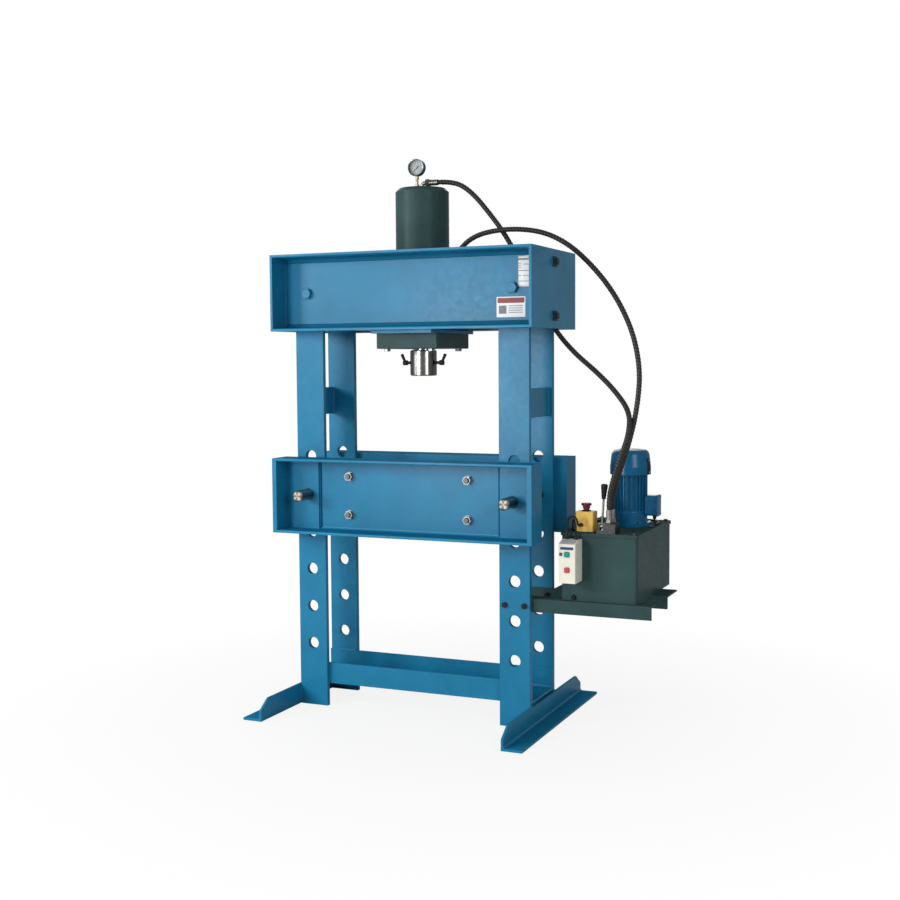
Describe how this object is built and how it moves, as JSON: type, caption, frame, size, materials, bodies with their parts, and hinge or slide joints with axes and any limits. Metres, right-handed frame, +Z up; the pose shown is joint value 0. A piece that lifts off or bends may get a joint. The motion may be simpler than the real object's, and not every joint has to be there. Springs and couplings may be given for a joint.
{
  "type": "hydraulic press",
  "caption": "Floor-standing H-frame hydraulic press with a height-set table on pins, a vertical ram in the head beam and a motor-pump unit on side brackets.",
  "frame": {"origin": "on the floor under the middle of the press with its power unit, the middle of its box", "axes": "+Z up; -Y to the front, where the gauge and the starter face; +X to the right, towards the power unit"},
  "size_m": [1.517, 0.886, 2.1495],
  "materials": {
    "frame_blue": "satin",
    "unit_grey": "satin",
    "zinc_steel": "zinc plated",
    "dark_steel": "blackened",
    "bright_steel": "machined",
    "bronze": "machined",
    "fitting_zinc": "yellow zinc",
    "seal_rubber": "matt",
    "hose_rubber": "matt",
    "gauge_black": "satin",
    "dial_white": "matt",
    "needle_black": "gloss",
    "lens_glass": "clear",
    "motor_blue": "gloss",
    "fan_grey": "matt",
    "valve_grey": "phosphated",
    "estop_yellow": "satin",
    "button_red": "gloss",
    "starter_cream": "satin",
    "button_green": "gloss"
  },
  "bodies": {
    "frame": {"left_foot": "frame_blue", "right_foot": "frame_blue", "front_left_upright": "frame_blue", "front_right_upright": "frame_blue", "rear_left_upright": "frame_blue", "rear_right_upright": "frame_blue", "cross_channel": "frame_blue", "column_spacer_plates": "frame_blue", "front_head_channel": "frame_blue", "rear_head_channel": "frame_blue", "head_end_plates": "frame_blue", "cylinder_mount_plate": "frame_blue", "front_table_channel": "frame_blue", "rear_table_channel": "frame_blue", "cylinder_flange_block": "unit_grey", "cylinder_barrel": "unit_grey", "front_bracket_angle": "unit_grey", "rear_bracket_angle": "unit_grey", "tank": "unit_grey", "tank_lid": "unit_grey", "head_bolts": "zinc_steel", "flange_bolts": "zinc_steel", "table_tie_rods": "zinc_steel", "bracket_bolts": "zinc_steel", "lid_bolts": "zinc_steel", "head_end_bolts": "dark_steel", "pump_body": "dark_steel", "suction_strainer": "bright_steel", "rod_bush": "bronze", "gauge_stem": "bronze", "hose_fittings": "fitting_zinc", "rod_wiper": "seal_rubber", "control_leads": "seal_rubber", "extend_hose": "hose_rubber", "retract_hose": "hose_rubber", "gauge_case": "gauge_black", "gauge_dial": "dial_white", "gauge_lens": "lens_glass", "motor_frame": "motor_blue", "motor_fan_cover": "motor_blue", "motor_terminal_box": "motor_blue", "valve_body": "valve_grey", "estop_box": "estop_yellow", "starter_box": "starter_cream"},
    "ram": {"piston": "dark_steel", "piston_seal": "seal_rubber", "piston_rod": "bright_steel", "ram_tool_holder": "bright_steel"},
    "left_clamp": {"left_clamp_lever": "bright_steel"},
    "right_clamp": {"right_clamp_lever": "bright_steel"},
    "left_pin": {"left_table_pin": "bright_steel"},
    "right_pin": {"right_table_pin": "bright_steel"},
    "valve_handle": {"valve_lever": "bright_steel", "valve_knob": "needle_black"},
    "emergency_stop": {"estop_button": "button_red"},
    "start_push": {"start_button": "button_green"},
    "stop_push": {"stop_button": "button_red"},
    "needle": {"gauge_needle": "needle_black"},
    "rotor": {"motor_rotor": "bright_steel", "motor_fan": "fan_grey"}
  },
  "joints": [
    {"name": "ram_slide", "type": "slide", "parent": "frame", "child": "ram", "axis": [0, 0, -1], "range_m": [0, 0.3]},
    {"name": "left_clamp_turn", "type": "hinge", "parent": "ram", "child": "left_clamp", "pos_m": [-0.2575, 0, 1.366], "axis": [-1, 0, 0], "range_deg": [0, 360]},
    {"name": "right_clamp_turn", "type": "hinge", "parent": "ram", "child": "right_clamp", "pos_m": [-0.1175, 0, 1.366], "axis": [1, 0, 0], "range_deg": [0, 360]},
    {"name": "left_pin_draw", "type": "slide", "parent": "frame", "child": "left_pin", "axis": [0, -1, 0], "range_m": [0, 0.33]},
    {"name": "right_pin_draw", "type": "slide", "parent": "frame", "child": "right_pin", "axis": [0, -1, 0], "range_m": [0, 0.33]},
    {"name": "valve_lever_tilt", "type": "hinge", "parent": "frame", "child": "valve_handle", "pos_m": [0.5625, -0.08, 0.766], "axis": [1, 0, 0], "range_deg": [-18, 18], "stiffness_Nm_per_rad": 3},
    {"name": "estop_press", "type": "slide", "parent": "frame", "child": "emergency_stop", "axis": [0, 0, -1], "range_m": [0, 0.004], "stiffness_N_per_m": 1500, "springref_m": -0.001},
    {"name": "start_press", "type": "slide", "parent": "frame", "child": "start_push", "axis": [0, 1, 0], "range_m": [0, 0.003], "stiffness_N_per_m": 800, "springref_m": -0.001},
    {"name": "stop_press", "type": "slide", "parent": "frame", "child": "stop_push", "axis": [0, 1, 0], "range_m": [0, 0.003], "stiffness_N_per_m": 800, "springref_m": -0.001},
    {"name": "gauge_needle_turn", "type": "hinge", "parent": "frame", "child": "needle", "pos_m": [-0.1995, -0.021, 2.117], "axis": [0, 1, 0], "range_deg": [0, 270], "stiffness_Nm_per_rad": 0.002, "springref_deg": -11.46},
    {"name": "motor_spin", "type": "hinge", "parent": "frame", "child": "rotor", "pos_m": [0.5945, 0.185, 0.86], "axis": [0, 0, 1], "continuous": true}
  ]
}
